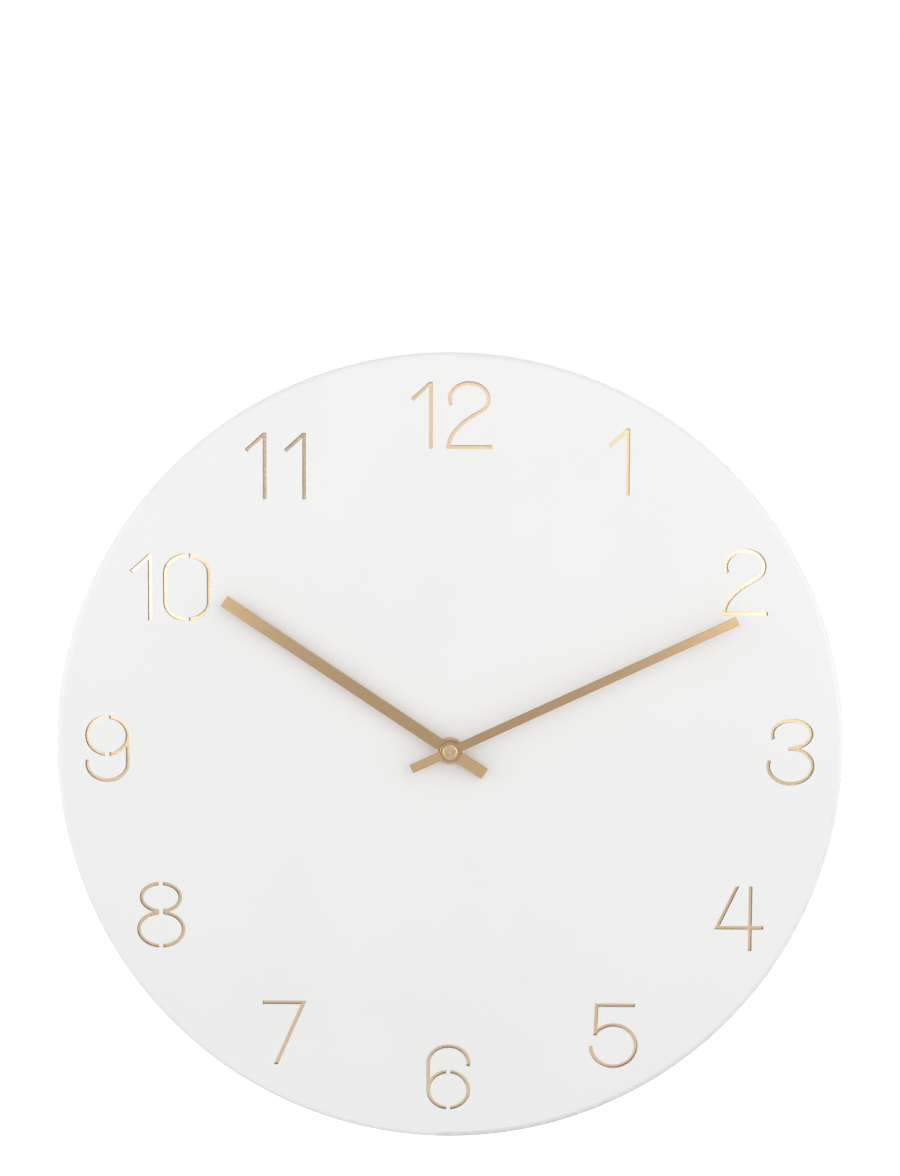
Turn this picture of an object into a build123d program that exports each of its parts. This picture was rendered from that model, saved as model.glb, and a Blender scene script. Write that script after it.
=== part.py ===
from build123d import *
import os
from math import cos, radians, sin, sqrt

# Wall clock: a pressed dial pan with numerals cut through it over a gold disc, two flat bar hands and
# a push-through quartz movement held by a knurled ring nut. Millimetres. The dial faces -Y, the wall
# is on the +Y side, +Z is up. The origin is the centre of the hanger hole, on the hanger plate's rear
# face. Heights called "level" run forward from that face, towards whoever reads the clock.

os.makedirs("parts", exist_ok=True)

# ---------------------------------------------------------------- driving dimensions
# Dial pan
dial_diameter = 400.0
pan_sheet = 1.5
pan_edge_radius = 3.0
wall_gap = 0.7  # the rim stands this far behind the movement's rear face
hub_drop = 34.0  # hub below the hanger hole

# Numerals
numeral_margin = 14.6  # from the edge of the dial to each numeral's furthest point
numeral_height = 33.25
numeral_stroke = 1.9
numeral_overshoot = 0.4  # round digits pass the cap line and the base line by this much
stencil_bridge = 2.05
eleven_lean = -1.8  # the 11 stands this many degrees off its hour ray

# Layers behind the dial face
tape_thickness = 0.8
tape_inset = 1.0  # from the edge of the piece that a ring of tape sits on
tape_hub_width = 14.0
tape_middle_width = 12.0
tape_rim_width = 7.0
numeral_band = 54.0  # radial width kept free of tape for the numerals
backing_thickness = 0.5
backing_clearance = 2.5  # backing disc edge to the inside of the rim
gasket_side = 50.0
gasket_thickness = 1.0

# Movement case
case_side = 56.0
case_depth = 16.0
case_corner = 4.0
case_wall = 1.2
cover_thickness = 1.8
cover_lip = 1.0
fit_gap = 0.1  # between parts that are snapped or laid together
bush_radius = 3.9
bush_length = 7.5  # in front of the case
bush_lead = 0.4
bush_clearance = 0.15  # bush to the holes in the dial layers

# Hub stack on the bush
washer_radius = 6.6
washer_thickness = 0.5
nut_radius = 7.07
nut_height = 2.8
nut_serrations = 36
nut_groove = 0.28
thread_gap = 0.05
hand_gap = 0.4  # free space in front of the bush before the hour hand
boss_spacing = 0.9  # between the two hand bosses

# Hands
hand_thickness = 0.6
hour_angle = 303.4  # clockwise from 12
hour_width = 6.15
hour_reach = 136.4
hour_tail = 21.1
hour_eye = 5.7
minute_angle = 65.2
minute_width = 4.62
minute_reach = 158.3
minute_tail = 21.6
minute_eye = 4.9
tail_bend = 5.5  # degrees that each tail leans back towards the dial
blade_chamfer = 0.2
boss_height = 2.4
boss_seat = 1.4  # hand blade sits this far up its boss
boss_inset = 1.5  # edge of a hand's eye to the body of its boss
boss_gap = 0.02
rivet_head = 0.4
rivet_height = 0.1
hour_neck = 3.2
minute_neck = 2.4
cap_radius = 3.73
cap_height = 4.4
cap_edge = 0.55
cap_dish_radius = 2.95
cap_dish_depth = 0.12
cap_crown = 1.3  # cap over the end of the minute pipe

# Arbors and pipes
minute_pipe_radius = 1.6
minute_stub_radius = 1.0
hour_pipe_radius = 2.5
hour_pipe_proud = 0.4  # hour pipe in front of its boss
motion_post_radius = 0.6
pipe_clearance = 0.06
arbor_radius = 0.5
pivot_radius = 0.3
pivot_clearance = 0.03
pivot_depth = 0.6
end_shake = 0.1

# Gears: module, then teeth of the driver and of the wheel
train_module = 0.3
rotor_teeth = 12
intermediate_teeth = 60
intermediate_pinion_teeth = 10
seconds_teeth = 60
third_module = 0.3412
seconds_pinion_teeth = 8
third_teeth = 60
centre_module = 0.3222
third_pinion_teeth = 8
centre_teeth = 64
motion_module = 0.35
cannon_teeth = 12
motion_teeth = 36
knob_teeth = 12
hour_module = 0.336
motion_pinion_teeth = 10
hour_teeth = 40
wheel_thickness = 0.8
pinion_length = 1.6
knob_overhang = 0.2  # knob pinion past each face of the motion wheel
web_hole_circle = 0.3  # holes in the centre wheel, as shares of its pitch diameter
web_hole_radius = 0.1

# Depths from the inside of the case's front wall to the rear of each piece
hour_wheel_depth = 1.9
motion_pinion_depth = 3.0
motion_headroom = 0.6
board_depth = 5.1
centre_wheel_depth = 5.3
bridge_depth = 6.8
bridge_thickness = 0.8
stator_depth = 7.0
magnet_depth = 8.1
third_wheel_depth = 8.3
seconds_pinion_depth = 8.7
intermediate_wheel_depth = 10.1
rotor_pinion_depth = 10.5
seconds_wheel_depth = 11.9
intermediate_pinion_depth = 12.3

# Where the arbors stand round the hub
third_direction = 140.0
intermediate_direction = 50.0
rotor_direction = 35.0  # from the intermediate arbor
motion_direction = 180.0
knob_direction = 205.3  # from the motion arbor

# Battery, AA size
battery_radius = 7.1
battery_length = 50.5
battery_nub_radius = 2.75
battery_nub_length = 1.3
battery_round = 0.4
battery_crimp = 0.9
battery_shoulder = 0.5
battery_gap = 0.3
bay_divider = 1.0
contact_thickness = 0.4
contact_width = 9.0
contact_gap = 0.15  # battery end to the contact's tip
contact_bump_radius = 1.85
contact_bump_round = 0.4
tongue_thickness = 0.3
tongue_half = 4.0

# Coil, stator and board
magnet_radius = 3.0
magnet_length = 3.0
magnet_chamfer = 0.3
stator_thickness = 0.8
stator_air_gap = 0.25
stator_ring = 4.2
stator_limb = 4.0
stator_foot = 5.2  # height of the limb that holds the rotor
stator_notch = 0.4
stator_left = -5.0
stator_right = 25.0
coil_centre = 22.3
coil_start = 0.0
coil_length = 20.0
coil_flange_radius = 3.7
coil_flange = 0.8
core_thickness = 0.8
winding_gap = 0.02
coil_wire_radius = 3.4
bobbin_radius = 2.2
core_width = 3.0
core_slack = 0.05
board_width = 19.5
board_height = 13.9
board_thickness = 1.0
board_centre = (-16.25, 19.45)
board_peg_steps = ((-7.5, -3.95), (7.5, 5.05))  # from the board's centre
chip_place = (-17.5, 18.0)
chip_radius = 2.6
chip_height = 1.1
chip_round = 0.88
crystal_place = (-17.0, 23.8)
crystal_radius = 1.0
crystal_length = 6.2

# Hanger
hanger_width = 26.0
hanger_thickness = 1.0
hanger_bottom = 20.0  # above the hub
hanger_top = 40.0
hanger_hole_radius = 4.0
hanger_notch_radius = 1.2
hanger_screw_spread = 8.0
hanger_screw_height = 24.0
screw_radius = 0.9
screw_head_radius = 2.0
screw_head_depth = 0.8
screw_length = 3.4
screw_recess = 0.05
screw_slot = (2.6, 0.5, 0.4)  # length, width and depth of each arm of the cross
screw_hole_gap = 0.4
screw_boss_wall = 1.1
screw_boss_floor = 1.0

# Posts and pegs inside the front case
bridge_posts = ((13.0, -8.0), (-20.5, 3.0), (22.0, 5.0))
bridge_lobes = (4.0, 2.6, 3.2)  # round the hub, the intermediate arbor and the third arbor
bridge_foot = 0.7  # bridge past the edge of each post
bridge_boss_radius = 2.4
third_pinion_clearance = 0.8
post_radius = 1.5
stake_radius = 0.7
stake_length = 0.4
peg_radius = 1.3
peg_stake = 0.6

# Setting knob
knob_radius = 4.0
knob_thickness = 1.3
knob_recess = 0.15
knob_shaft_radius = 1.0
knob_gap = 0.3
knob_serrations = 20
knob_groove = 0.5
knob_floor = 0.8

# ---------------------------------------------------------------- levels, from the hanger plate's rear
dial_radius = dial_diameter / 2
numeral_circle = dial_radius - numeral_margin
backing_radius = dial_radius - pan_sheet - backing_clearance
hub_height = -hub_drop
gasket_level = case_depth
backing_level = gasket_level + gasket_thickness
tape_level = backing_level + backing_thickness
face_back = tape_level + tape_thickness
face_front = face_back + pan_sheet
rim_rear = -wall_gap
bush_end = case_depth + bush_length
nut_level = face_front + washer_thickness
hour_boss_level = bush_end + hand_gap
hour_blade_level = hour_boss_level + boss_seat
minute_boss_level = hour_boss_level + boss_height + boss_spacing
minute_blade_level = minute_boss_level + boss_height - hand_thickness - rivet_height
cap_level = minute_boss_level + boss_height
cap_top = cap_level + cap_height
inner_wall = case_depth - case_wall

pinion_overhang = (pinion_length - wheel_thickness) / 2
hour_wheel_level = inner_wall - hour_wheel_depth
motion_pinion_level = inner_wall - motion_pinion_depth
motion_wheel_level = motion_pinion_level - wheel_thickness
cannon_level = motion_wheel_level - pinion_overhang
centre_wheel_level = inner_wall - centre_wheel_depth
bridge_level = inner_wall - bridge_depth
bridge_front = bridge_level + bridge_thickness
bridge_boss_top = centre_wheel_level - 2 * end_shake
third_wheel_level = inner_wall - third_wheel_depth
third_pinion_level = third_wheel_level + wheel_thickness
seconds_pinion_level = inner_wall - seconds_pinion_depth
magnet_level = inner_wall - magnet_depth
stator_level = inner_wall - stator_depth
core_level = stator_level + stator_thickness
coil_level = core_level + core_thickness / 2
board_level = inner_wall - board_depth
intermediate_wheel_level = inner_wall - intermediate_wheel_depth
rotor_pinion_level = inner_wall - rotor_pinion_depth
intermediate_pinion_level = inner_wall - intermediate_pinion_depth
seconds_wheel_level = inner_wall - seconds_wheel_depth
battery_level = inner_wall - battery_gap - battery_radius

# ---------------------------------------------------------------- planes, axes and places
hub_axis = Axis((0, 0, hub_height), (0, 1, 0))
section = Plane(origin=(0, 0, hub_height), x_dir=(1, 0, 0), z_dir=(0, 0, -1))


def at(level):
    """Drawing plane across the hub axis: x to the right, y up, extruding towards the reader."""
    return Plane(origin=(0, -level, hub_height), x_dir=(1, 0, 0), z_dir=(0, -1, 0))


def polar(distance, direction, start=(0.0, 0.0)):
    """Point at a distance and direction (degrees from +X towards +Z) from a start point."""
    angle = radians(direction)
    return (start[0] + distance * cos(angle), start[1] + distance * sin(angle))


def turned(clockwise):
    """Dial angle, clockwise from 12, as a direction from +X."""
    return 90 - clockwise


def centre_distance(module, teeth_a, teeth_b):
    return module * (teeth_a + teeth_b) / 2


hub = (0.0, 0.0)
third_place = polar(centre_distance(centre_module, third_pinion_teeth, centre_teeth), third_direction)
intermediate_place = polar(
    centre_distance(train_module, intermediate_pinion_teeth, seconds_teeth), intermediate_direction
)
rotor_place = polar(
    centre_distance(train_module, rotor_teeth, intermediate_teeth), rotor_direction, intermediate_place
)
motion_place = polar(centre_distance(motion_module, cannon_teeth, motion_teeth), motion_direction)
knob_place = polar(
    centre_distance(motion_module, knob_teeth, motion_teeth), knob_direction, motion_place
)
case_inside = case_side / 2 - case_wall
battery_height = -case_inside + battery_gap + battery_radius
divider_bottom = battery_height + battery_radius + battery_gap
divider_top = divider_bottom + bay_divider


# ---------------------------------------------------------------- numerals
stroke_half = numeral_stroke / 2
cap_line = numeral_height - stroke_half
round_top = cap_line + numeral_overshoot
round_base = stroke_half - numeral_overshoot


def trimmed_to_height(width):
    """Cut the open sketch off at the base line and the cap line."""
    with Locations((width / 2, numeral_height / 2)):
        Rectangle(2 * width, numeral_height, mode=Mode.INTERSECT)


def ring(centre, outer_x, outer_y):
    """Elliptical ring one stroke wide."""
    with Locations(centre):
        Ellipse(outer_x, outer_y)
        Ellipse(outer_x - numeral_stroke, outer_y - numeral_stroke, mode=Mode.SUBTRACT)


def bridge(centre):
    """Stencil bridge across a stroke."""
    with Locations(centre):
        Rectangle(stencil_bridge, 2 * numeral_stroke, mode=Mode.SUBTRACT)


def digit_one():
    stem = 10.05
    with BuildSketch() as digit:
        with Locations((stem, numeral_height / 2)):
            Rectangle(numeral_stroke, numeral_height)
        with BuildLine():
            Line((0.64, numeral_height - 8.9), (9.74, cap_line + 0.24))
        trace(line_width=numeral_stroke)
    return digit.sketch


def digit_two():
    bowl = (11.3, 24.6)
    bowl_x = 9.7
    with BuildSketch() as digit:
        with BuildLine():
            EllipticalCenterArc(bowl, bowl_x, round_top - bowl[1], 0, arc_size=202)
        trace(line_width=numeral_stroke)
        with BuildLine():
            Spline(
                (bowl[0] + bowl_x, bowl[1]), (15.8, 17.9), (7.7, 12.4), (2.7, 6.6), (0.95, 0.2),
                tangents=((0, -1), (-0.08, -1)),
            )
        trace(line_width=numeral_stroke)
        with Locations((23.1 / 2, stroke_half)):
            Rectangle(23.1, numeral_stroke)
        with Locations((23.1 / 2, numeral_height)):
            Rectangle(30, 2 * numeral_height, mode=Mode.INTERSECT)
    return digit.sketch


def digit_three():
    lower = (11.9, 9.4)
    upper = (12.4, 25.7)
    waist = lower[1] + (lower[1] - round_base)
    with BuildSketch() as digit:
        with BuildLine():
            EllipticalCenterArc(lower, 11.3, lower[1] - round_base, 161, arc_size=289)
        trace(line_width=numeral_stroke)
        with BuildLine():
            EllipticalCenterArc(upper, 9.95, round_top - upper[1], 270, arc_size=290)
        trace(line_width=numeral_stroke)
        with Locations((11.6, waist)):
            Rectangle(2.0, numeral_stroke)
    return digit.sketch


def digit_four():
    bar = 11.9
    width = 24.8
    with BuildSketch() as digit:
        with BuildLine():
            Polyline((12.2, numeral_height + 2), (1.1, bar), (width, bar))
        trace(line_width=numeral_stroke)
        with Locations((18.0, numeral_height / 2)):
            Rectangle(numeral_stroke, numeral_height)
        trimmed_to_height(width)
    return digit.sketch


def digit_five():
    bowl = (12.3, 11.3)
    bowl_x = 11.6
    with BuildSketch() as digit:
        with BuildLine():
            EllipticalCenterArc(bowl, bowl_x, bowl[1] - round_base, 180, arc_size=328)
        trace(line_width=numeral_stroke)
        with BuildLine():
            Polyline((3.0, 16.6), (3.6, cap_line), (23.3, cap_line))
        trace(line_width=numeral_stroke)
    return digit.sketch


def digit_six():
    width = 22.5
    middle = width / 2
    bowl_y = 10.0
    shoulder = 24.3
    with BuildSketch() as digit:
        ring((middle, bowl_y), middle, bowl_y + numeral_overshoot)
        with Locations((stroke_half, (bowl_y + shoulder) / 2)):
            Rectangle(numeral_stroke, shoulder - bowl_y)
        with BuildLine():
            EllipticalCenterArc(
                (middle, shoulder), middle - stroke_half, round_top - shoulder, -13.5, arc_size=193.5
            )
        trace(line_width=numeral_stroke)
        bridge((middle, round_base))
        bridge((middle, 2 * bowl_y - round_base))
    return digit.sketch


def digit_seven():
    width = 22.5
    with BuildSketch() as digit:
        with BuildLine():
            Polyline((0, cap_line), (width - 1.5, cap_line), (6.0, -1.5))
        trace(line_width=numeral_stroke)
        trimmed_to_height(width)
    return digit.sketch


def digit_eight():
    lower = (12.35, 9.15)
    upper = (12.25, 25.6)
    upper_y = numeral_height + numeral_overshoot - upper[1]
    with BuildSketch() as digit:
        ring(lower, lower[0], lower[1] + numeral_overshoot)
        ring(upper, 10.85, upper_y)
        for level in (round_base, (upper[1] - upper_y + 2 * lower[1] + numeral_overshoot) / 2, round_top):
            bridge((lower[0], level))
    return digit.sketch


def digit_zero():
    width = 24.0
    middle = width / 2
    low = 9.5
    high = 24.0
    with BuildSketch() as digit:
        for centre, size in (((middle, high), round_top - high), ((middle, low), low - round_base)):
            ring(centre, middle, size + stroke_half)
        with Locations((middle, (low + high) / 2)):
            Rectangle(width, high - low)
            Rectangle(width - 2 * numeral_stroke, high - low, mode=Mode.SUBTRACT)
        with Locations((middle, (low + high) / 2)):
            Rectangle(stencil_bridge, 2 * numeral_height, mode=Mode.SUBTRACT)
    return digit.sketch


def digit_nine():
    with BuildSketch() as digit:
        with Locations(Location((0, 0, 0), (0, 0, 180))):
            add(digit_six())
    return digit.sketch


digits = {
    "0": digit_zero, "1": digit_one, "2": digit_two, "3": digit_three, "4": digit_four,
    "5": digit_five, "6": digit_six, "7": digit_seven, "8": digit_eight, "9": digit_nine,
}
digit_gap = {10: 5.7, 11: 8.8, 12: 6.9}


def numeral_outline(hour):
    """Numeral for an hour, its digits side by side, centred on its own box."""
    with BuildSketch() as row:
        edge = 0.0
        for character in str(hour):
            glyph = digits[character]()
            box = glyph.bounding_box()
            with Locations((edge - box.min.X, 0)):
                add(glyph)
            edge += box.size.X + digit_gap.get(hour, 0)
    middle = row.sketch.bounding_box().center()
    with BuildSketch() as numeral:
        with Locations((-middle.X, -middle.Y)):
            add(row.sketch)
    return numeral.sketch


def numeral_distance(outline, direction):
    """Distance from the hub along a ray that brings the outline's furthest point to the numeral circle."""
    steps = 12
    ray = Vector(*polar(1, direction))
    corners = [edge.position_at(step / steps) for edge in outline.edges() for step in range(steps + 1)]
    return min(
        sqrt(numeral_circle**2 - corner.length**2 + corner.dot(ray) ** 2) - corner.dot(ray)
        for corner in corners
    )


numerals = []
for hour in range(1, 13):
    direction = turned(30 * hour + (eleven_lean if hour == 11 else 0))
    outline = numeral_outline(hour)
    place = polar(numeral_distance(outline, direction), direction)
    numerals.append((place, outline))


# ---------------------------------------------------------------- gears
addendum = 0.75
dedendum = 1.1
tooth_tip = 0.08
tooth_pitch = 0.18
tooth_root = 0.24


def meshing_phase(direction, teeth_a, phase_a, teeth_b):
    """Phase of gear B whose gaps take gear A's teeth, B lying in a direction from A."""
    return direction + 180 + 180 / teeth_b - (phase_a - direction) * teeth_a / teeth_b


def gear(place, level, length, teeth, module, phase):
    """Gear added to the open part, with one tooth pointing in the direction "phase"."""
    pitch = 360 / teeth
    radius = module * teeth / 2
    flank = ((-dedendum, tooth_root), (0, tooth_pitch), (addendum, tooth_tip))
    points = []
    for tooth in range(teeth):
        middle = phase + tooth * pitch
        for side, corners in ((-1, flank), (1, flank[::-1])):
            for height, half in corners:
                points.append(polar(radius + height * module, middle + side * half * pitch, place))
    with BuildSketch(at(level)) as face:
        with BuildLine():
            Polyline(*points, close=True)
        make_face()
    extrude(face.sketch, amount=length)


def disc(place, level, length, radius, mode=Mode.ADD):
    """Round bar or hole, from a level forward."""
    with BuildSketch(at(level)) as face:
        with Locations(place):
            Circle(radius)
    extrude(face.sketch, amount=length, mode=mode)


def arbor(place, rear, front):
    """Arbor with a finer pivot at each end; rear and front are where its shoulders stop."""
    disc(place, rear, front - rear, arbor_radius)
    disc(place, rear - pivot_depth, front - rear + 2 * pivot_depth, pivot_radius)


def pivot_hole(place, level, length):
    disc(place, level, length, pivot_radius + pivot_clearance, mode=Mode.SUBTRACT)


def plate(centre, width, height, level, thickness, corner=0.0, mode=Mode.ADD):
    """Flat plate across the hub axis, with rounded corners where a radius is given."""
    with BuildSketch(at(level)) as face:
        with Locations(centre):
            if corner:
                RectangleRounded(width, height, corner)
            else:
                Rectangle(width, height)
    extrude(face.sketch, amount=thickness, mode=mode)


def finish(name, part):
    """Label a piece and write it out."""
    part.part.label = name
    export_step(part.part, f"parts/{name}.step")


# ---------------------------------------------------------------- dial
inner_edge = pan_edge_radius - pan_sheet
edge_centre = (dial_radius - pan_edge_radius, face_front - pan_edge_radius)
dial_hole = bush_radius + bush_clearance

with BuildPart() as dial_pan:
    with BuildSketch(section):
        with BuildLine():
            Polyline((dial_hole, face_back), (dial_hole, face_front), (edge_centre[0], face_front))
            CenterArc(edge_centre, pan_edge_radius, 90, -90)
            Polyline(
                (dial_radius, edge_centre[1]), (dial_radius, rim_rear),
                (dial_radius - pan_sheet, rim_rear), (dial_radius - pan_sheet, edge_centre[1]),
            )
            CenterArc(edge_centre, inner_edge, 0, 90)
            Line((edge_centre[0], face_back), (dial_hole, face_back))
        make_face()
    revolve(axis=hub_axis)
    with BuildSketch(at(face_front)):
        for place, outline in numerals:
            with Locations(place):
                add(outline)
    extrude(amount=-pan_sheet, mode=Mode.SUBTRACT)
finish("dial_pan", dial_pan)

with BuildPart() as numeral_backing_disc:
    disc(hub, backing_level, backing_thickness, backing_radius)
    disc(hub, backing_level, backing_thickness, dial_hole, mode=Mode.SUBTRACT)
finish("numeral_backing_disc", numeral_backing_disc)

tape_rings = (
    (backing_radius - tape_inset, tape_rim_width),
    (numeral_circle - numeral_band, tape_middle_width),
    (gasket_side / 2 - tape_inset, tape_hub_width),
)
with BuildPart() as foam_tape_rings:
    with BuildSketch(at(tape_level)):
        for outside, width in tape_rings:
            Circle(outside)
            Circle(outside - width, mode=Mode.SUBTRACT)
    extrude(amount=tape_thickness)
finish("foam_tape_rings", foam_tape_rings)

with BuildPart() as rubber_gasket:
    plate(hub, gasket_side, gasket_side, gasket_level, gasket_thickness, case_corner)
    disc(hub, gasket_level, gasket_thickness, dial_hole, mode=Mode.SUBTRACT)
finish("rubber_gasket", rubber_gasket)

# ---------------------------------------------------------------- washer and knurled nut
with BuildPart() as bush_washer:
    disc(hub, face_front, washer_thickness, washer_radius)
    disc(hub, face_front, washer_thickness, bush_radius + thread_gap, mode=Mode.SUBTRACT)
    chamfer(bush_washer.edges().filter_by(GeomType.CIRCLE).group_by(SortBy.RADIUS)[-1], washer_thickness / 4)
finish("bush_washer", bush_washer)

with BuildPart() as ring_nut:
    disc(hub, nut_level, nut_height, nut_radius)
    chamfer(ring_nut.edges().filter_by(GeomType.CIRCLE), 2 * nut_groove)
    disc(hub, nut_level, nut_height, bush_radius + thread_gap, mode=Mode.SUBTRACT)
    with BuildSketch(at(nut_level)):
        with PolarLocations(nut_radius, nut_serrations):
            Rectangle(2 * nut_groove, 2 * nut_groove, rotation=45, mode=Mode.ADD)
    extrude(amount=nut_height, mode=Mode.SUBTRACT)
finish("ring_nut", ring_nut)

# ---------------------------------------------------------------- gear phases, all met at rest
cannon_phase = turned(minute_angle)
motion_phase = meshing_phase(motion_direction, cannon_teeth, cannon_phase, motion_teeth)
hour_phase = meshing_phase(motion_direction + 180, motion_pinion_teeth, motion_phase, hour_teeth)
knob_phase = meshing_phase(knob_direction, motion_teeth, motion_phase, knob_teeth)
intermediate_phase = meshing_phase(rotor_direction + 180, rotor_teeth, 0, intermediate_teeth)
seconds_phase = meshing_phase(
    intermediate_direction + 180, intermediate_pinion_teeth, intermediate_phase, seconds_teeth
)
third_phase = meshing_phase(third_direction, seconds_pinion_teeth, seconds_phase, third_teeth)
centre_phase = meshing_phase(third_direction + 180, third_pinion_teeth, third_phase, centre_teeth)

# ---------------------------------------------------------------- running train
arbor_rear = cover_thickness + end_shake

with BuildPart() as rotor_pinion:
    gear(rotor_place, rotor_pinion_level, pinion_length, rotor_teeth, train_module, 0)
    arbor(rotor_place, arbor_rear, magnet_level + magnet_length + end_shake)
finish("rotor_pinion", rotor_pinion)

with BuildPart() as rotor_magnet:
    disc(rotor_place, magnet_level, magnet_length, magnet_radius)
    disc(rotor_place, magnet_level, magnet_length, arbor_radius + pivot_clearance, mode=Mode.SUBTRACT)
    chamfer(rotor_magnet.edges().filter_by(GeomType.CIRCLE).group_by(SortBy.RADIUS)[-1], magnet_chamfer)
finish("rotor_magnet", rotor_magnet)

with BuildPart() as intermediate_wheel:
    gear(
        intermediate_place, intermediate_wheel_level, wheel_thickness,
        intermediate_teeth, train_module, intermediate_phase,
    )
    gear(
        intermediate_place, intermediate_pinion_level, intermediate_wheel_level - intermediate_pinion_level,
        intermediate_pinion_teeth, train_module, intermediate_phase,
    )
    arbor(intermediate_place, arbor_rear, bridge_level - end_shake)
finish("intermediate_wheel", intermediate_wheel)

with BuildPart() as seconds_wheel:
    gear(hub, seconds_wheel_level, wheel_thickness, seconds_teeth, train_module, seconds_phase)
    gear(hub, seconds_pinion_level, pinion_length, seconds_pinion_teeth, third_module, seconds_phase)
    arbor(hub, arbor_rear, bridge_level - end_shake)
finish("seconds_wheel", seconds_wheel)

with BuildPart() as third_wheel:
    gear(third_place, third_wheel_level, wheel_thickness, third_teeth, third_module, third_phase)
    gear(
        third_place, third_pinion_level,
        centre_wheel_level + wheel_thickness + pinion_overhang - third_pinion_level,
        third_pinion_teeth, centre_module, third_phase,
    )
    arbor(third_place, arbor_rear, inner_wall - end_shake)
finish("third_wheel", third_wheel)

with BuildPart() as centre_wheel:
    gear(hub, centre_wheel_level, wheel_thickness, centre_teeth, centre_module, centre_phase)
    disc(
        hub, centre_wheel_level, wheel_thickness, minute_pipe_radius + pivot_clearance, mode=Mode.SUBTRACT
    )
    with BuildSketch(at(centre_wheel_level)):
        with PolarLocations(centre_module * centre_teeth * web_hole_circle, 4, start_angle=45):
            Circle(centre_module * centre_teeth * web_hole_radius)
    extrude(amount=wheel_thickness, mode=Mode.SUBTRACT)
finish("centre_wheel", centre_wheel)

# ---------------------------------------------------------------- motion work and setting knob
pipe_front = cap_top - cap_crown

with BuildPart() as minute_pipe:
    disc(hub, bridge_boss_top - pivot_depth, pivot_depth + end_shake, minute_stub_radius)
    disc(hub, bridge_boss_top + end_shake, pipe_front - bridge_boss_top - end_shake, minute_pipe_radius)
    gear(hub, cannon_level, pinion_length, cannon_teeth, motion_module, cannon_phase)
finish("minute_pipe", minute_pipe)

hour_pipe_front = hour_boss_level + boss_height + hour_pipe_proud
with BuildPart() as hour_wheel:
    gear(hub, hour_wheel_level, wheel_thickness, hour_teeth, hour_module, hour_phase)
    disc(hub, hour_wheel_level, hour_pipe_front - hour_wheel_level, hour_pipe_radius)
    disc(
        hub, hour_wheel_level, hour_pipe_front - hour_wheel_level,
        minute_pipe_radius + pipe_clearance, mode=Mode.SUBTRACT,
    )
finish("hour_wheel", hour_wheel)

with BuildPart() as motion_wheel:
    gear(motion_place, motion_wheel_level, wheel_thickness, motion_teeth, motion_module, motion_phase)
    gear(
        motion_place, motion_pinion_level, motion_pinion_depth - motion_headroom,
        motion_pinion_teeth, hour_module, motion_phase,
    )
    disc(
        motion_place, motion_wheel_level, inner_wall - motion_wheel_level,
        motion_post_radius + pivot_clearance, mode=Mode.SUBTRACT,
    )
finish("motion_wheel", motion_wheel)

with BuildPart() as setting_knob:
    disc(knob_place, knob_recess, knob_thickness, knob_radius)
    with BuildSketch(at(knob_recess)):
        with Locations(knob_place):
            with PolarLocations(knob_radius, knob_serrations):
                Rectangle(knob_groove, knob_groove, rotation=45)
    extrude(amount=knob_thickness, mode=Mode.SUBTRACT)
    disc(knob_place, knob_recess, motion_wheel_level - knob_recess, knob_shaft_radius)
    gear(
        knob_place, motion_wheel_level - knob_overhang, wheel_thickness + 2 * knob_overhang,
        knob_teeth, motion_module, knob_phase,
    )
    disc(knob_place, motion_wheel_level, inner_wall + pivot_depth - motion_wheel_level, arbor_radius)
finish("setting_knob", setting_knob)

# ---------------------------------------------------------------- wheel bridge
with BuildPart() as wheel_bridge:
    with BuildSketch(at(bridge_level)):
        for place, radius in zip((hub, intermediate_place, third_place), bridge_lobes):
            with Locations(place):
                Circle(radius)
        with Locations(*bridge_posts):
            Circle(post_radius + bridge_foot)
        make_hull()
        with Locations(*bridge_posts):
            Circle(stake_radius + pivot_clearance, mode=Mode.SUBTRACT)
        with Locations(third_place):
            Circle(centre_module * third_pinion_teeth / 2 + third_pinion_clearance, mode=Mode.SUBTRACT)
        with Locations(intermediate_place):
            Circle(pivot_radius + pivot_clearance, mode=Mode.SUBTRACT)
    extrude(amount=bridge_thickness)
    disc(hub, bridge_level, bridge_boss_top - bridge_level, bridge_boss_radius)
    disc(
        hub, bridge_boss_top - pivot_depth, pivot_depth, minute_stub_radius + pivot_clearance,
        mode=Mode.SUBTRACT,
    )
    pivot_hole(hub, bridge_level, bridge_boss_top - bridge_level)
finish("wheel_bridge", wheel_bridge)

# ---------------------------------------------------------------- movement case
train_height = case_side / 2 - case_wall - divider_top
train_middle = divider_top + train_height / 2
bay_height = divider_bottom + case_inside
bay_middle = -case_inside + bay_height / 2
cover_height = case_side / 2 - divider_top
cover_middle = (0, divider_top + cover_height / 2)
board_pegs = [(board_centre[0] + x, board_centre[1] + y) for x, y in board_peg_steps]
limb_places = (stator_left + stator_limb / 2, stator_right - stator_limb / 2)
stator_pegs = [(x, rotor_place[1]) for x in limb_places]
core_pegs = [(x, coil_centre) for x in limb_places]
wall_pivot = pivot_depth + pivot_clearance

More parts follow.
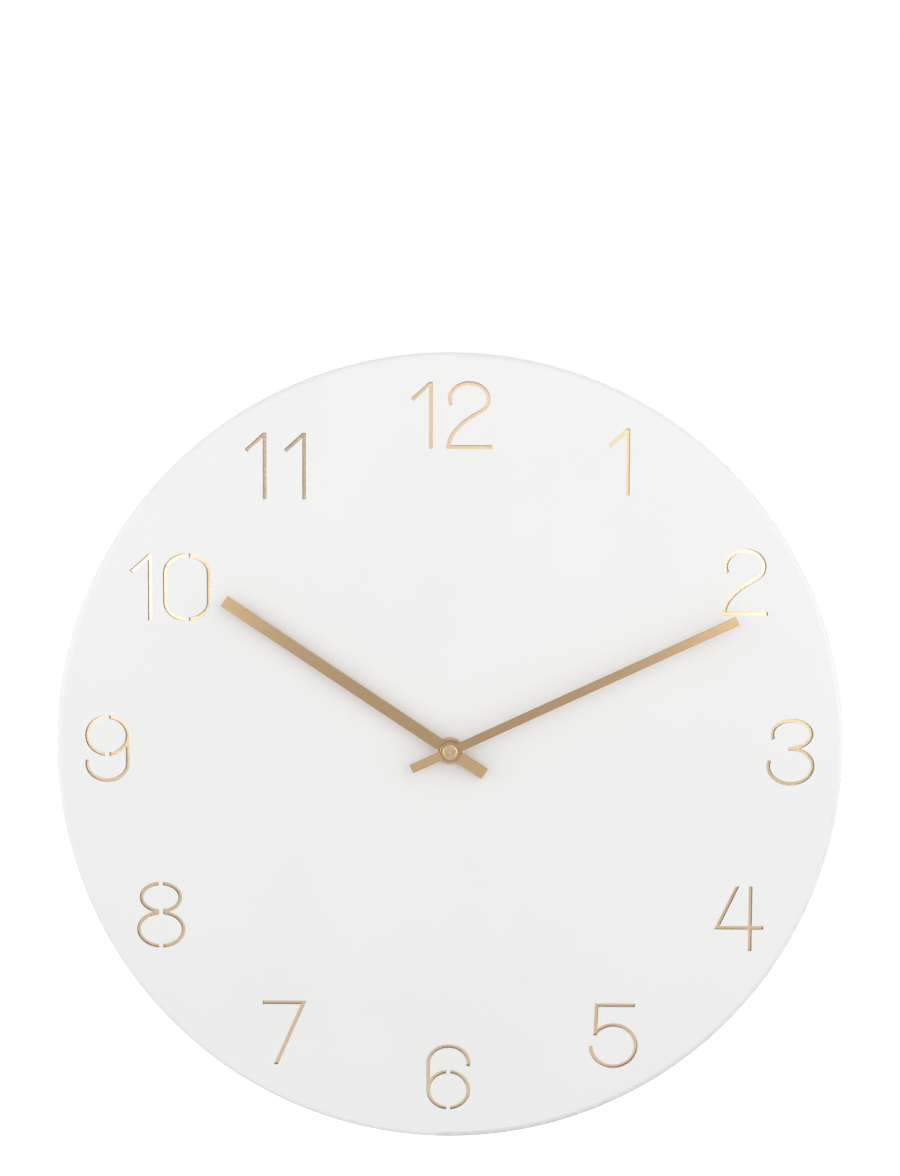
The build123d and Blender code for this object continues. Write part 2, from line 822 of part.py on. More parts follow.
with BuildPart() as movement_front_case:
    plate(hub, case_side, case_side, 0, case_depth, case_corner)
    plate((0, train_middle), 2 * case_inside, train_height, 0, inner_wall, mode=Mode.SUBTRACT)
    plate((0, bay_middle), 2 * case_inside, bay_height, 0, inner_wall, mode=Mode.SUBTRACT)
    plate(cover_middle, case_side, cover_height, 0, cover_thickness, mode=Mode.SUBTRACT)
    fillet(movement_front_case.faces().sort_by(Axis.Y)[0].outer_wire().edges(), case_wall / 2)
    disc(hub, case_depth - case_wall, case_wall + bush_length, bush_radius)
    chamfer(movement_front_case.faces().sort_by(Axis.Y)[0].outer_wire().edges(), bush_lead)
    for place in bridge_posts:
        disc(place, bridge_front, inner_wall - bridge_front, post_radius)
        disc(place, bridge_level - stake_length, inner_wall - bridge_level, stake_radius)
    for place in board_pegs:
        disc(place, board_level + board_thickness, inner_wall - board_level - board_thickness, peg_radius)
        disc(place, board_level - stake_length, inner_wall - board_level, peg_stake)
    for place in stator_pegs:
        disc(place, stator_level + stator_thickness, inner_wall - stator_level - stator_thickness, peg_radius)
        disc(place, stator_level - end_shake, inner_wall - stator_level, peg_stake)
    for place in core_pegs:
        disc(place, core_level + core_thickness, inner_wall - core_level - core_thickness, peg_radius)
        disc(place, stator_level - end_shake, inner_wall - stator_level, peg_stake)
    disc(motion_place, motion_wheel_level + end_shake, inner_wall - motion_wheel_level, motion_post_radius)
    rotor_front = magnet_level + magnet_length + 2 * end_shake
    disc(rotor_place, rotor_front, inner_wall - rotor_front, peg_radius)
    pivot_hole(rotor_place, rotor_front, wall_pivot)
    pivot_hole(third_place, inner_wall, wall_pivot)
    disc(knob_place, inner_wall, wall_pivot, arbor_radius + pivot_clearance, mode=Mode.SUBTRACT)
    disc(
        hub, inner_wall, case_wall + bush_length, hour_pipe_radius + pipe_clearance, mode=Mode.SUBTRACT
    )
finish("movement_front_case", movement_front_case)

# ---------------------------------------------------------------- rear cover and hanger
knob_well = knob_recess + knob_thickness + knob_gap
hanger_middle = (hanger_bottom + hanger_top) / 2
hanger_height = hanger_top - hanger_bottom
screw_places = ((-hanger_screw_spread, hanger_screw_height), (hanger_screw_spread, hanger_screw_height))

with BuildPart() as movement_rear_case:
    plate(
        (0, cover_middle[1] + fit_gap / 2), case_side, cover_height - fit_gap, 0, cover_thickness,
    )
    with BuildSketch(at(cover_thickness)):
        with Locations((0, train_middle)):
            Rectangle(2 * case_inside - 2 * fit_gap, train_height - 2 * fit_gap)
            Rectangle(
                2 * case_inside - 2 * fit_gap - 2 * cover_lip, train_height - 2 * fit_gap - 2 * cover_lip,
                mode=Mode.SUBTRACT,
            )
    extrude(amount=cover_lip)
    disc(knob_place, 0, knob_well + knob_floor, knob_radius + knob_gap + knob_floor)
    disc(knob_place, 0, knob_well, knob_radius + knob_gap, mode=Mode.SUBTRACT)
    disc(
        knob_place, 0, knob_well + knob_floor, knob_shaft_radius + pipe_clearance, mode=Mode.SUBTRACT
    )
    for place in screw_places:
        disc(
            place, cover_thickness, screw_length + screw_boss_floor - cover_thickness,
            screw_radius + screw_boss_wall,
        )
    plate(
        (0, hanger_middle), hanger_width + 2 * fit_gap, hanger_height + 2 * fit_gap,
        0, hanger_thickness, mode=Mode.SUBTRACT,
    )
    for place in screw_places:
        disc(place, 0, screw_length + screw_boss_floor / 2, screw_radius, mode=Mode.SUBTRACT)
    for place in (hub, intermediate_place, rotor_place, third_place):
        pivot_hole(place, cover_thickness - pivot_depth, pivot_depth)
finish("movement_rear_case", movement_rear_case)

with BuildPart() as hanger_plate:
    plate((0, hanger_middle), hanger_width, hanger_height, 0, hanger_thickness, 2.0)
    disc((0, hub_drop), 0, hanger_thickness, hanger_hole_radius, mode=Mode.SUBTRACT)
    disc((0, hub_drop + hanger_hole_radius), 0, hanger_thickness, hanger_notch_radius, mode=Mode.SUBTRACT)
    with BuildSketch(at(0)):
        with Locations(*screw_places):
            Circle(screw_head_radius + fit_gap)
    extrude(amount=screw_head_depth, taper=45, mode=Mode.SUBTRACT)
    for place in screw_places:
        disc(place, 0, hanger_thickness, screw_radius + screw_hole_gap, mode=Mode.SUBTRACT)
finish("hanger_plate", hanger_plate)

with BuildPart() as hanger_screws:
    with BuildSketch(at(screw_recess)):
        with Locations(*screw_places):
            Circle(screw_head_radius)
    extrude(amount=screw_head_depth, taper=45)
    slot_length, slot_width, slot_depth = screw_slot
    for place in screw_places:
        disc(place, screw_recess, screw_length, screw_radius)
        plate(place, slot_length, slot_width, screw_recess, slot_depth, mode=Mode.SUBTRACT)
        plate(place, slot_width, slot_length, screw_recess, slot_depth, mode=Mode.SUBTRACT)
finish("hanger_screws", hanger_screws)

# ---------------------------------------------------------------- motor
peg_hole = peg_stake + pivot_clearance
limb_height = coil_centre + core_width / 2 - rotor_place[1]

with BuildPart() as stator:
    with BuildSketch(at(stator_level)):
        with Locations(((stator_left + stator_right) / 2, rotor_place[1])):
            Rectangle(stator_right - stator_left, stator_foot)
        for x in limb_places:
            with Locations((x, rotor_place[1] + limb_height / 2)):
                Rectangle(stator_limb, limb_height)
        with Locations(rotor_place):
            Circle(stator_ring)
            Circle(magnet_radius + stator_air_gap, mode=Mode.SUBTRACT)
            with PolarLocations(magnet_radius + stator_air_gap, 2, start_angle=45):
                Circle(stator_notch, mode=Mode.SUBTRACT)
        with Locations(*stator_pegs, *core_pegs):
            Circle(peg_hole, mode=Mode.SUBTRACT)
    extrude(amount=stator_thickness)
finish("stator", stator)

with BuildPart() as coil_core:
    with BuildSketch(at(core_level)):
        with Locations(((stator_left + stator_right) / 2, coil_centre)):
            Rectangle(stator_right - stator_left, core_width)
        with Locations(*core_pegs):
            Circle(peg_hole, mode=Mode.SUBTRACT)
    extrude(amount=core_thickness)
finish("coil_core", coil_core)



def coil_plane(x):
    """Drawing plane across the coil's axis: x up, y forward, extruding to the right."""
    return Plane(origin=(x, -coil_level, hub_height + coil_centre), x_dir=(0, 0, 1), z_dir=(1, 0, 0))


with BuildPart() as coil_bobbin:
    with BuildSketch(coil_plane(coil_start)):
        Circle(bobbin_radius)
    extrude(amount=coil_length)
    with BuildSketch(coil_plane(coil_start), coil_plane(coil_start + coil_length - coil_flange)):
        Circle(coil_flange_radius)
    extrude(amount=coil_flange)
    with BuildSketch(coil_plane(coil_start)):
        Rectangle(core_width + 2 * core_slack, core_thickness + 2 * core_slack)
    extrude(amount=coil_length, mode=Mode.SUBTRACT)
finish("coil_bobbin", coil_bobbin)

with BuildPart() as coil_winding:
    with BuildSketch(coil_plane(coil_start + coil_flange + winding_gap)):
        Circle(coil_wire_radius)
        Circle(bobbin_radius + winding_gap, mode=Mode.SUBTRACT)
    extrude(amount=coil_length - 2 * coil_flange - 2 * winding_gap)
finish("coil_winding", coil_winding)

# ---------------------------------------------------------------- circuit board
with BuildPart() as circuit_board:
    plate(board_centre, board_width, board_height, board_level, board_thickness, 1.0)
    for place in board_pegs:
        disc(place, board_level, board_thickness, peg_hole, mode=Mode.SUBTRACT)
finish("circuit_board", circuit_board)

with BuildPart() as driver_chip:
    disc(chip_place, board_level - chip_height, chip_height, chip_radius)
    fillet(driver_chip.edges().filter_by(GeomType.CIRCLE).sort_by(Axis.Y)[-1], chip_round)
finish("driver_chip", driver_chip)

with BuildPart() as quartz_crystal:
    crystal_end = Plane(
        origin=(
            crystal_place[0] - crystal_length / 2,
            crystal_radius - board_level,
            hub_height + crystal_place[1],
        ),
        x_dir=(0, 0, 1),
        z_dir=(1, 0, 0),
    )
    with BuildSketch(crystal_end):
        Circle(crystal_radius)
    extrude(amount=crystal_length)
    fillet(quartz_crystal.edges().filter_by(GeomType.CIRCLE).sort_by(Axis.X)[0], crystal_radius / 3)
finish("quartz_crystal", quartz_crystal)

# ---------------------------------------------------------------- battery and its contacts
battery_end = battery_length / 2
contact_tip = battery_end + contact_gap
contact_face = case_inside - contact_thickness
contact_middle = case_inside - contact_thickness / 2
contact_base = battery_level - contact_width / 2

with BuildPart() as aa_battery:
    battery_plane = Plane(
        origin=(0, -battery_level, hub_height + battery_height), x_dir=(1, 0, 0), z_dir=(0, -1, 0)
    )
    shoulder = battery_nub_length - battery_end
    with BuildSketch(battery_plane):
        with BuildLine():
            Polyline(
                (-battery_end, 0), (-battery_end, battery_nub_radius - battery_round),
                (battery_round - battery_end, battery_nub_radius), (shoulder, battery_nub_radius),
                (shoulder, battery_radius - battery_crimp), (shoulder + battery_shoulder, battery_radius),
                (battery_end - battery_round, battery_radius),
                (battery_end, battery_radius - battery_round),
                (battery_end, 0), close=True,
            )
        make_face()
    revolve(axis=Axis(battery_plane.origin, (1, 0, 0)))
finish("aa_battery", aa_battery)

with BuildPart() as battery_contact_positive:
    plate((-contact_middle, battery_height), contact_thickness, contact_width, contact_base, contact_width)
    with BuildSketch(
        Plane(
            origin=(-contact_face, -battery_level, hub_height + battery_height),
            x_dir=(0, 0, 1),
            z_dir=(1, 0, 0),
        )
    ):
        Circle(contact_bump_radius)
    extrude(amount=contact_face - contact_tip)
    fillet(
        battery_contact_positive.edges().filter_by(GeomType.CIRCLE).sort_by(Axis.X)[-1], contact_bump_round
    )
finish("battery_contact_positive", battery_contact_positive)

with BuildPart() as battery_contact_negative:
    plate((contact_middle, battery_height), contact_thickness, contact_width, contact_base, contact_width)
    with BuildSketch(Plane(origin=(0, 0, hub_height + battery_height), x_dir=(1, 0, 0), z_dir=(0, 0, -1))):
        with BuildLine():
            ThreePointArc(
                (contact_face, battery_level - tongue_half),
                (contact_tip + tongue_thickness / 2, battery_level),
                (contact_face, battery_level + tongue_half),
            )
        trace(line_width=tongue_thickness)
    extrude(amount=contact_width / 3, both=True)
finish("battery_contact_negative", battery_contact_negative)

# ---------------------------------------------------------------- hands
def hand(angle, level, width, reach, tail, eye, neck):
    """Flat square-ended bar with a round eye on the hub and a tail bent back, in the open part."""
    direction = turned(angle)
    with BuildSketch(at(level)) as blade:
        with Locations(polar((reach - eye) / 2, direction)):
            Rectangle(reach + eye, width, rotation=direction)
        Circle(eye)
    extrude(blade.sketch, amount=hand_thickness)
    bend_line = Pos(*polar(eye, direction + 180)) * Rot(0, 0, direction + 180)
    with BuildSketch(at(level + hand_thickness) * bend_line * Rot(0, tail_bend, 0)) as end:
        with Locations(((tail - eye) / 2, 0)):
            Rectangle(tail - eye, width)
    extrude(end.sketch, amount=-hand_thickness)
    disc(hub, level, hand_thickness, neck + boss_gap, mode=Mode.SUBTRACT)


def faces_front(face):
    return face.normal_at().Y < -cos(radians(2 * tail_bend))


def front_rim(part):
    """Edges round the front of a hand, less the bend line that its two front faces share."""
    flat, bent = (face.outer_wire().edges() for face in part.faces().filter_by(faces_front))
    return (flat - bent) + (bent - flat)


def boss(level, seat, eye, neck, bore):
    """Turned bush that carries a hand: a body behind the blade, a neck through it and a rivet head."""
    disc(hub, level, seat, eye - boss_inset)
    disc(hub, level + seat, hand_thickness, neck)
    disc(hub, level + seat + hand_thickness, boss_height - seat - hand_thickness, neck + rivet_head)
    disc(hub, level, boss_height, bore + boss_gap, mode=Mode.SUBTRACT)


with BuildPart() as hour_hand:
    hand(hour_angle, hour_blade_level, hour_width, hour_reach, hour_tail, hour_eye, hour_neck)
    chamfer(front_rim(hour_hand), blade_chamfer)
finish("hour_hand", hour_hand)

with BuildPart() as hour_hand_boss:
    boss(hour_boss_level, boss_seat, hour_eye, hour_neck, hour_pipe_radius)
finish("hour_hand_boss", hour_hand_boss)

with BuildPart() as minute_hand:
    hand(minute_angle, minute_blade_level, minute_width, minute_reach, minute_tail, minute_eye, minute_neck)
    chamfer(front_rim(minute_hand), blade_chamfer)
finish("minute_hand", minute_hand)

with BuildPart() as minute_hand_boss:
    boss(
        minute_boss_level, minute_blade_level - minute_boss_level, minute_eye, minute_neck,
        minute_pipe_radius,
    )
finish("minute_hand_boss", minute_hand_boss)

# ---------------------------------------------------------------- cap nut
cap_bore = minute_pipe_radius + boss_gap
with BuildPart() as cap_nut:
    with BuildSketch(section):
        with BuildLine():
            Polyline(
                (0, pipe_front + end_shake), (cap_bore, pipe_front + end_shake), (cap_bore, cap_level),
                (cap_radius - cap_edge / 2, cap_level), (cap_radius, cap_level + cap_edge / 2),
                (cap_radius, cap_top - cap_edge),
            )
            CenterArc((cap_radius - cap_edge, cap_top - cap_edge), cap_edge, 0, 90)
            Polyline(
                (cap_radius - cap_edge, cap_top), (cap_dish_radius, cap_top),
                (cap_dish_radius - cap_dish_depth, cap_top - cap_dish_depth),
                (0, cap_top - 2 * cap_dish_depth), (0, pipe_front + end_shake),
            )
        make_face()
    revolve(axis=hub_axis)
finish("cap_nut", cap_nut)
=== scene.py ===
"""Wall clock: finishes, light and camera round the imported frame. Metres; the dial faces -Y."""
import math

import bpy
from mathutils import Matrix, Vector


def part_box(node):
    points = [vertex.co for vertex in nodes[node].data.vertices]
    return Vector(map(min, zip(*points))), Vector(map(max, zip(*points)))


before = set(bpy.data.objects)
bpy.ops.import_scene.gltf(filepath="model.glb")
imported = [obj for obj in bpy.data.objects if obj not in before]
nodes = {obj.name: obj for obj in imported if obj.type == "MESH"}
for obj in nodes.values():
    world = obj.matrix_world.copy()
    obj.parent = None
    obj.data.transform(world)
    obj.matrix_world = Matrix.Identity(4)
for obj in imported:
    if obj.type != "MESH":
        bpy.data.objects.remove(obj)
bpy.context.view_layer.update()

# ---------------------------------------------------------------- places read from the frame
MM = 0.001


def middle(node):
    low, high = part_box(node)
    return (Vector(low) + Vector(high)) / 2


def front_of(node):
    """How far forward (towards -Y) a node reaches."""
    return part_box(node)[0][1]


dial_low, dial_high = (Vector(corner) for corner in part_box("dial_pan"))
hub = Vector((0, front_of("dial_pan"), (dial_low.z + dial_high.z) / 2))
dial_radius = (dial_high.z - dial_low.z) / 2


def bar_direction(node):
    """Turn about Y, in radians, that brings a hand's length onto the X axis."""
    centre = middle(node)
    return math.atan2(centre.z - hub.z, centre.x - hub.x)


# ---------------------------------------------------------------- shader helpers
class Finish:
    """A node material built round one Principled shader."""

    def __init__(self, name, colour, roughness, metallic=0.0, **sockets):
        self.material = bpy.data.materials.new(name)
        self.material.use_nodes = True
        self.material.diffuse_color = (*colour, 1)
        self.tree = self.material.node_tree
        self.shader = self.tree.nodes["Principled BSDF"]
        self.shader.inputs["Base Color"].default_value = (*colour, 1)
        self.shader.inputs["Roughness"].default_value = roughness
        self.shader.inputs["Metallic"].default_value = metallic
        for socket, value in sockets.items():
            self.shader.inputs[socket.replace("_", " ")].default_value = value
        self.place = self.node("ShaderNodeTexCoord").outputs["Object"]
        self.height = None

    def node(self, kind, inputs=None, **settings):
        made = self.tree.nodes.new(kind)
        for setting, value in settings.items():
            setattr(made, setting, value)
        for socket, value in (inputs or {}).items():
            if isinstance(value, bpy.types.NodeSocket):
                self.tree.links.new(value, made.inputs[socket])
            else:
                made.inputs[socket].default_value = value
        return made

    def math(self, operation, first, second=0.0):
        return self.node("ShaderNodeMath", {0: first, 1: second}, operation=operation).outputs[0]

    def mapped(self, scale=(1, 1, 1), turn=0.0, centre=(0, 0, 0)):
        """Coordinates about a centre, turned about Y and then stretched."""
        moved = self.node(
            "ShaderNodeVectorMath", {0: self.place, 1: tuple(centre)}, operation="SUBTRACT"
        ).outputs[0]
        turned = self.node(
            "ShaderNodeVectorRotate", {"Vector": moved, "Angle": turn, "Axis": (0, 1, 0)}
        ).outputs[0]
        return self.node(
            "ShaderNodeVectorMath", {0: turned, 1: tuple(scale)}, operation="MULTIPLY"
        ).outputs[0]

    def noise(self, scale, detail=3.0, coordinates=None, rough=0.55):
        inputs = {"Vector": coordinates or self.place, "Scale": scale, "Detail": detail, "Roughness": rough}
        return self.node("ShaderNodeTexNoise", inputs).outputs["Fac"]

    def spread(self, value, low, high, from_low=0.3, from_high=0.7):
        """A texture value, usually 0.3 to 0.7, spread over a range."""
        inputs = {
            "Value": value, "From Min": from_low, "From Max": from_high, "To Min": low, "To Max": high,
        }
        return self.node("ShaderNodeMapRange", inputs).outputs["Result"]

    def ramp(self, value, stops, interpolation="LINEAR"):
        made = self.node("ShaderNodeValToRGB", {"Fac": value})
        made.color_ramp.interpolation = interpolation
        elements = made.color_ramp.elements
        while len(elements) < len(stops):
            elements.new(0.5)
        for element, (position, colour) in zip(elements, stops):
            element.position = position
            element.color = (*colour, 1)
        return made.outputs["Color"]

    def link(self, value, socket):
        self.tree.links.new(value, self.shader.inputs[socket])

    def tint(self, value, dark, light):
        """Base colour between two colours by a texture value."""
        self.link(self.ramp(value, ((0.3, dark), (0.7, light))), "Base Color")

    def bump(self, value, depth, strength=1.0):
        """Relief of a given depth in metres; several calls stack."""
        inputs = {"Height": value, "Distance": depth, "Strength": strength}
        if self.height:
            inputs["Normal"] = self.height
        self.height = self.node("ShaderNodeBump", inputs).outputs["Normal"]
        self.link(self.height, "Normal")


def shade(colour, factor):
    return tuple(min(1.0, part * factor) for part in colour)


# ---------------------------------------------------------------- finishes
def powder_coat():
    """Satin white coat: fine orange peel, faint cloudiness."""
    white = (0.845, 0.845, 0.84)
    finish = Finish("white_powder_coat", white, 0.46)
    cloud = finish.noise(14.0, 2.0)
    finish.tint(cloud, shade(white, 0.99), shade(white, 1.01))
    finish.link(finish.spread(finish.noise(160.0), 0.42, 0.5), "Roughness")
    finish.bump(finish.noise(1300.0, 2.0), 0.02 * MM, 0.6)
    finish.bump(finish.noise(60.0, 1.0), 0.05 * MM, 0.25)
    return finish


def gold_sheet():
    """Satin gold sheet with a fine horizontal grain."""
    gold = (0.93, 0.72, 0.48)
    finish = Finish("satin_gold_sheet", gold, 0.2, 1.0)
    grain = finish.noise(1.0, 4.0, finish.mapped((25, 25, 5200)))
    finish.tint(grain, shade(gold, 0.94), shade(gold, 1.05))
    finish.link(finish.spread(grain, 0.15, 0.25), "Roughness")
    finish.bump(grain, 0.004 * MM, 0.3)
    return finish


def brushed_bar(node):
    """Brushed and lacquered gold hand: a fine grain runs along the bar."""
    gold = (0.655, 0.452, 0.255)
    finish = Finish(f"brushed_gold_{node}", gold, 0.23, 0.85)
    turn = bar_direction(node)
    grain = finish.noise(1.0, 4.0, finish.mapped((90, 300, 9000), turn, hub), 0.6)
    finish.tint(grain, shade(gold, 0.985), shade(gold, 1.015))
    finish.link(finish.spread(grain, 0.22, 0.25), "Roughness")
    finish.bump(grain, 0.0005 * MM, 0.15)
    return finish


def turned_gold(name, gold, roughness, pitch, anisotropic=0.0):
    """Lathe-turned brass: fine rings about the hub axis."""
    finish = Finish(name, gold, roughness, 1.0, Anisotropic=anisotropic)
    flat = finish.mapped((1, 0, 1), 0.0, hub)
    radius = finish.node("ShaderNodeVectorMath", {0: flat}, operation="LENGTH").outputs["Value"]
    lathe = finish.node(
        "ShaderNodeTexNoise", {"W": finish.math("DIVIDE", radius, pitch), "Scale": 1.0, "Detail": 3.0},
        noise_dimensions="1D",
    ).outputs["Fac"]
    if anisotropic:
        tangent = finish.node("ShaderNodeTangent", direction_type="RADIAL", axis="Y")
        finish.link(tangent.outputs["Tangent"], "Tangent")
    finish.tint(lathe, shade(gold, 0.95), shade(gold, 1.05))
    finish.link(finish.spread(lathe, roughness - 0.02, roughness + 0.02), "Roughness")
    finish.bump(lathe, 0.0004 * MM, 0.2)
    return finish


def moulded(name, colour, roughness=0.5, grain=2200.0, depth=0.02):
    """Moulded plastic: fine spark texture and soft flow marks."""
    finish = Finish(name, colour, roughness)
    flow = finish.noise(120.0, 2.0)
    finish.tint(flow, shade(colour, 0.9), shade(colour, 1.1))
    finish.link(finish.spread(finish.noise(500.0), roughness - 0.07, roughness + 0.08), "Roughness")
    finish.bump(finish.noise(grain, 2.0), depth * MM, 0.7)
    return finish


def soft_black(name, colour, pores, depth):
    """Foam or rubber: open pores, dull."""
    finish = Finish(name, colour, 0.85)
    cells = finish.node("ShaderNodeTexVoronoi", {"Vector": finish.place, "Scale": pores}).outputs["Distance"]
    finish.tint(finish.noise(200.0), shade(colour, 0.7), shade(colour, 1.3))
    finish.bump(cells, depth * MM, 0.8)
    return finish


def plated(name, colour, roughness, stretch):
    """Rolled and plated steel: directional grain, small handling marks."""
    finish = Finish(name, colour, roughness, 1.0)
    grain = finish.noise(1.0, 4.0, finish.mapped(stretch))
    marks = finish.noise(420.0, 5.0, rough=0.7)
    finish.tint(marks, shade(colour, 0.88), shade(colour, 1.08))
    finish.link(finish.spread(grain, roughness - 0.08, roughness + 0.12), "Roughness")
    finish.bump(grain, 0.008 * MM, 0.5)
    return finish


WIRE_PITCH = 0.16 * MM


def winding():
    """Enamelled copper wire, side by side along X."""
    copper = (0.72, 0.30, 0.13)
    finish = Finish("copper_winding", copper, 0.3, 1.0)
    split = finish.node("ShaderNodeSeparateXYZ", {0: finish.place})
    turns = finish.math("SINE", finish.math("MULTIPLY", split.outputs["X"], 2 * math.pi / WIRE_PITCH))
    finish.tint(finish.noise(700.0), shade(copper, 0.8), shade(copper, 1.15))
    finish.bump(turns, 0.05 * MM, 0.8)
    return finish


def solder_mask():
    """Green board: lacquer over copper tracks that show as paler bands."""
    green = (0.03, 0.16, 0.06)
    finish = Finish("solder_mask", green, 0.25)
    cells = finish.node(
        "ShaderNodeTexBrick",
        {"Vector": finish.mapped((1, 1, 1)), "Scale": 300.0, "Mortar Size": 0.06},
    ).outputs["Fac"]
    finish.tint(cells, green, shade(green, 1.9))
    finish.bump(cells, 0.03 * MM, 0.6)
    return finish


def battery_wrap():
    """Printed film with steel ends: plain colour bands along the cell, no lettering."""
    finish = Finish("battery_film", (0.05, 0.2, 0.17), 0.32, Coat_Weight=0.4)
    low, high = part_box("aa_battery")
    split = finish.node("ShaderNodeSeparateXYZ", {0: finish.place})
    along = finish.node(
        "ShaderNodeMapRange",
        {"Value": split.outputs["X"], "From Min": low[0], "From Max": high[0]},
    ).outputs["Result"]
    steel = (0.62, 0.62, 0.62)
    bands = (
        (0.0, steel), (0.035, (0.72, 0.36, 0.12)), (0.25, (0.035, 0.16, 0.14)),
        (0.965, (0.02, 0.09, 0.08)), (0.985, steel),
    )
    finish.link(finish.ramp(along, bands, "CONSTANT"), "Base Color")
    metal = ((0.0, (1, 1, 1)), (0.035, (0.35, 0.35, 0.35)), (0.985, (1, 1, 1)))
    finish.link(finish.ramp(along, metal, "CONSTANT"), "Metallic")
    finish.link(finish.spread(finish.noise(350.0), 0.24, 0.42), "Roughness")
    finish.bump(finish.noise(90.0, 2.0), 0.03 * MM, 0.3)
    return finish


CAP_GOLD = (0.80, 0.60, 0.39)
NUT_GOLD = (0.80, 0.60, 0.38)
finishes = {
    "dial_pan": powder_coat(),
    "numeral_backing_disc": gold_sheet(),
    "foam_tape_rings": soft_black("foam_tape", (0.03, 0.03, 0.03), 900.0, 0.2),
    "rubber_gasket": soft_black("gasket_rubber", (0.02, 0.02, 0.02), 1800.0, 0.05),
    "hour_hand": brushed_bar("hour_hand"),
    "minute_hand": brushed_bar("minute_hand"),
    "cap_nut": turned_gold("cap_gold", CAP_GOLD, 0.24, 0.3 * MM, 0.7),
    "coil_winding": winding(),
    "circuit_board": solder_mask(),
    "aa_battery": battery_wrap(),
    "driver_chip": moulded("chip_epoxy", (0.012, 0.012, 0.012), 0.22, 600.0, 0.03),
    "rotor_magnet": moulded("sintered_magnet", (0.05, 0.05, 0.055), 0.5, 3000.0, 0.03),
    "coil_bobbin": moulded("bobbin_blue", (0.03, 0.07, 0.25), 0.42),
    "wheel_bridge": moulded("bridge_grey", (0.09, 0.095, 0.11), 0.5),
    "setting_knob": moulded("knob_grey", (0.50, 0.50, 0.49), 0.45),
    "quartz_crystal": plated("crystal_can", (0.72, 0.72, 0.74), 0.2, (3000, 300, 300)),
}
shared = (
    (turned_gold("turned_gold", NUT_GOLD, 0.3, 0.2 * MM),
     ("ring_nut", "bush_washer", "hour_hand_boss", "minute_hand_boss", "minute_pipe")),
    (moulded("case_black", (0.018, 0.018, 0.02), 0.5, 2400.0, 0.03),
     ("movement_front_case", "movement_rear_case")),
    (moulded("wheel_white", (0.72, 0.71, 0.67), 0.4),
     ("rotor_pinion", "intermediate_wheel", "seconds_wheel", "third_wheel", "centre_wheel", "hour_wheel",
      "motion_wheel")),
    (plated("stamped_steel", (0.48, 0.48, 0.5), 0.35, (300, 300, 3000)), ("stator", "coil_core")),
    (plated("zinc_plate", (0.60, 0.60, 0.61), 0.32, (4000, 300, 160)), ("hanger_plate", "hanger_screws")),
    (plated("nickel_spring", (0.68, 0.67, 0.65), 0.22, (300, 3000, 300)),
     ("battery_contact_positive", "battery_contact_negative")),
)
for finish, names in shared:
    for name in names:
        finishes[name] = finish
for name, piece in nodes.items():
    piece.data.materials.clear()
    piece.data.materials.append(finishes[name].material)


# ---------------------------------------------------------------- floor, world and lights
FLOOR_HALF = 6.0
FLOOR_DROP = 0.1  # floor below the dial
FLOOR_GLOW = 0.97
SEEN_WHITE = 1.0  # the world's strength for the camera
LIGHT_BY_HEIGHT = ((-1.0, 0.74), (-0.5, 0.76), (-0.2, 0.86), (0.0, 0.62), (0.3, 0.52), (1.0, 0.72))
SHADE_STRENGTH = 0.6
SHADE_ANGLES = (8, 16)  # degrees from straight ahead: full shade inside, none outside


def pale_floor():
    """White floor under the clock, seen by the camera but throwing no light up at the clock."""
    half = FLOOR_HALF
    level = dial_low.z - FLOOR_DROP
    mesh = bpy.data.meshes.new("floor")
    corners = [(-half, -half, level), (half, -half, level), (half, half, level), (-half, half, level)]
    mesh.from_pydata(corners, [], [(0, 1, 2, 3)])
    floor = bpy.data.objects.new("floor", mesh)
    bpy.context.scene.collection.objects.link(floor)
    glow = {"Emission_Color": (1, 1, 1, 1), "Emission_Strength": FLOOR_GLOW}
    paper = Finish("white_paper", (0.8, 0.8, 0.8), 0.9, **glow)
    mesh.materials.append(paper.material)
    floor.visible_diffuse = False
    floor.visible_glossy = False


def softbox(name, place, width, height, radiance):
    """Rectangular light turned to the hub; place is given from the hub."""
    data = bpy.data.lights.new(name, "AREA")
    data.shape = "RECTANGLE"
    data.size = width
    data.size_y = height
    data.energy = radiance * math.pi * width * height
    lamp = bpy.data.objects.new(name, data)
    bpy.context.scene.collection.objects.link(lamp)
    turn = (-Vector(place)).to_track_quat("-Z", "Y").to_matrix().to_4x4()
    lamp.matrix_world = Matrix.Translation(hub + Vector(place)) @ turn
    lamp.visible_camera = False


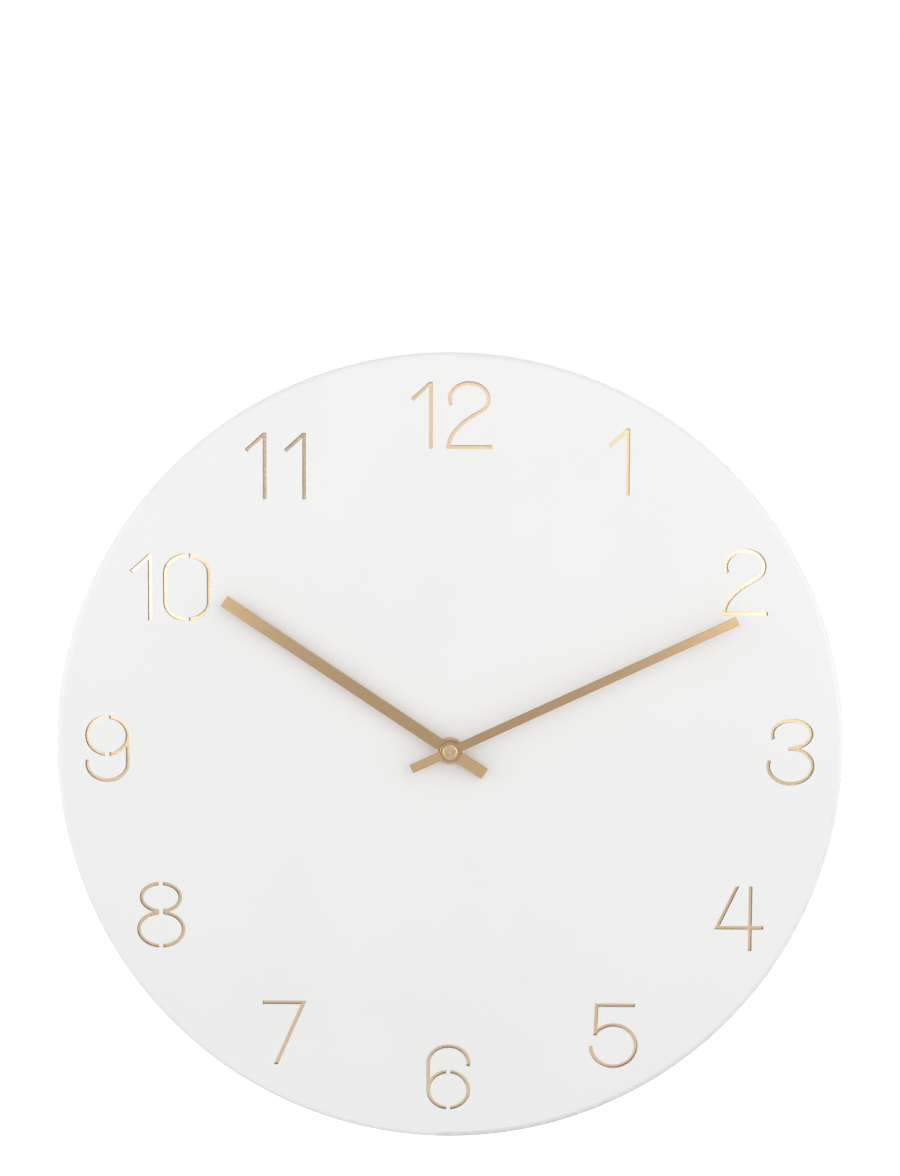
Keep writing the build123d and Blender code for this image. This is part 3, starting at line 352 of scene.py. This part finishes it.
def white_world(seen, levels, shade_strength, shade_angles):
    """White for the camera. As light it has a strength for each height on the unit sphere, from -1,
    straight down, to 1, and a dim patch straight in front of the clock, where a photographer stands."""
    world = bpy.data.worlds.new("studio")
    bpy.context.scene.world = world
    world.use_nodes = True
    tree = world.node_tree

    def add(kind, inputs=None, **settings):
        made = tree.nodes.new(kind)
        for setting, value in settings.items():
            setattr(made, setting, value)
        for socket, value in (inputs or {}).items():
            if isinstance(value, bpy.types.NodeSocket):
                tree.links.new(value, made.inputs[socket])
            else:
                made.inputs[socket].default_value = value
        return made

    direction = add("ShaderNodeTexCoord").outputs["Generated"]
    split = add("ShaderNodeSeparateXYZ", {0: direction})
    height = add("ShaderNodeMapRange", {"Value": split.outputs["Z"], "From Min": -1.0})
    gradient = add("ShaderNodeFloatCurve", {"Value": height.outputs["Result"]})
    points = gradient.mapping.curves[0].points
    while len(points) < len(levels):
        points.new(0.5, 0.5)
    for point, (level, strength) in zip(points, levels):
        point.location = ((level + 1) / 2, strength)
    gradient.mapping.update()
    inside, outside = (math.cos(math.radians(angle)) for angle in shade_angles)
    ahead = add("ShaderNodeVectorMath", {0: direction, 1: (0, -1, 0)}, operation="DOT_PRODUCT")
    patch = add(
        "ShaderNodeMapRange",
        {"Value": ahead.outputs["Value"], "From Min": outside, "From Max": inside, "To Min": 1.0,
         "To Max": shade_strength},
        interpolation_type="SMOOTHSTEP",
    )
    light = add(
        "ShaderNodeMath", {0: gradient.outputs["Value"], 1: patch.outputs["Result"]}, operation="MULTIPLY"
    )
    camera_ray = add("ShaderNodeLightPath").outputs["Is Camera Ray"]
    strength = add("ShaderNodeMapRange", {"Value": camera_ray, "To Min": light.outputs[0], "To Max": seen})
    background = tree.nodes["Background"]
    background.inputs["Color"].default_value = (1, 1, 1, 1)
    tree.links.new(strength.outputs["Result"], background.inputs["Strength"])


pale_floor()
white_world(SEEN_WHITE, LIGHT_BY_HEIGHT, SHADE_STRENGTH, SHADE_ANGLES)
softbox("left_softbox", (-0.51, -1.15, 0.16), 0.42, 0.38, 2.8)
softbox("right_softbox", (0.54, -1.15, 0.17), 0.42, 0.38, 2.5)
softbox("top_softbox", (0.42, -1.1, 0.62), 1.2, 1.1, 0.68)
softbox("left_fill", (-1.5, -0.4, 0.3), 1.2, 1.2, 1.8)
softbox("right_fill", (1.5, -0.4, 0.3), 1.2, 1.2, 1.6)
softbox("back_softbox", (0.5, 1.5, 0.8), 1.2, 1.0, 1.6)


# ---------------------------------------------------------------- camera
CAMERA_ELEVATION = 4.3  # degrees
CAMERA_DISTANCE = 1.0
CAMERA_ROLL = 0.3  # degrees
CAMERA_LENS = 60.30  # millimetres
CAMERA_SENSOR = 36.0  # width in millimetres
CAMERA_SHIFT_UP = 0.1381


def add_camera():
    data = bpy.data.cameras.new("camera")
    data.sensor_width = CAMERA_SENSOR
    data.lens = CAMERA_LENS
    data.shift_y = CAMERA_SHIFT_UP
    camera = bpy.data.objects.new("camera", data)
    bpy.context.scene.collection.objects.link(camera)
    tilt = math.radians(CAMERA_ELEVATION)
    place = hub + CAMERA_DISTANCE * Vector((0, -math.cos(tilt), math.sin(tilt)))
    roll = Matrix.Rotation(math.radians(CAMERA_ROLL), 4, "Z")
    turn = Matrix.Rotation(math.radians(90) - tilt, 4, "X") @ roll
    camera.matrix_world = Matrix.Translation(place) @ turn
    bpy.context.scene.camera = camera


add_camera()
bpy.context.scene.view_settings.view_transform = "Standard"
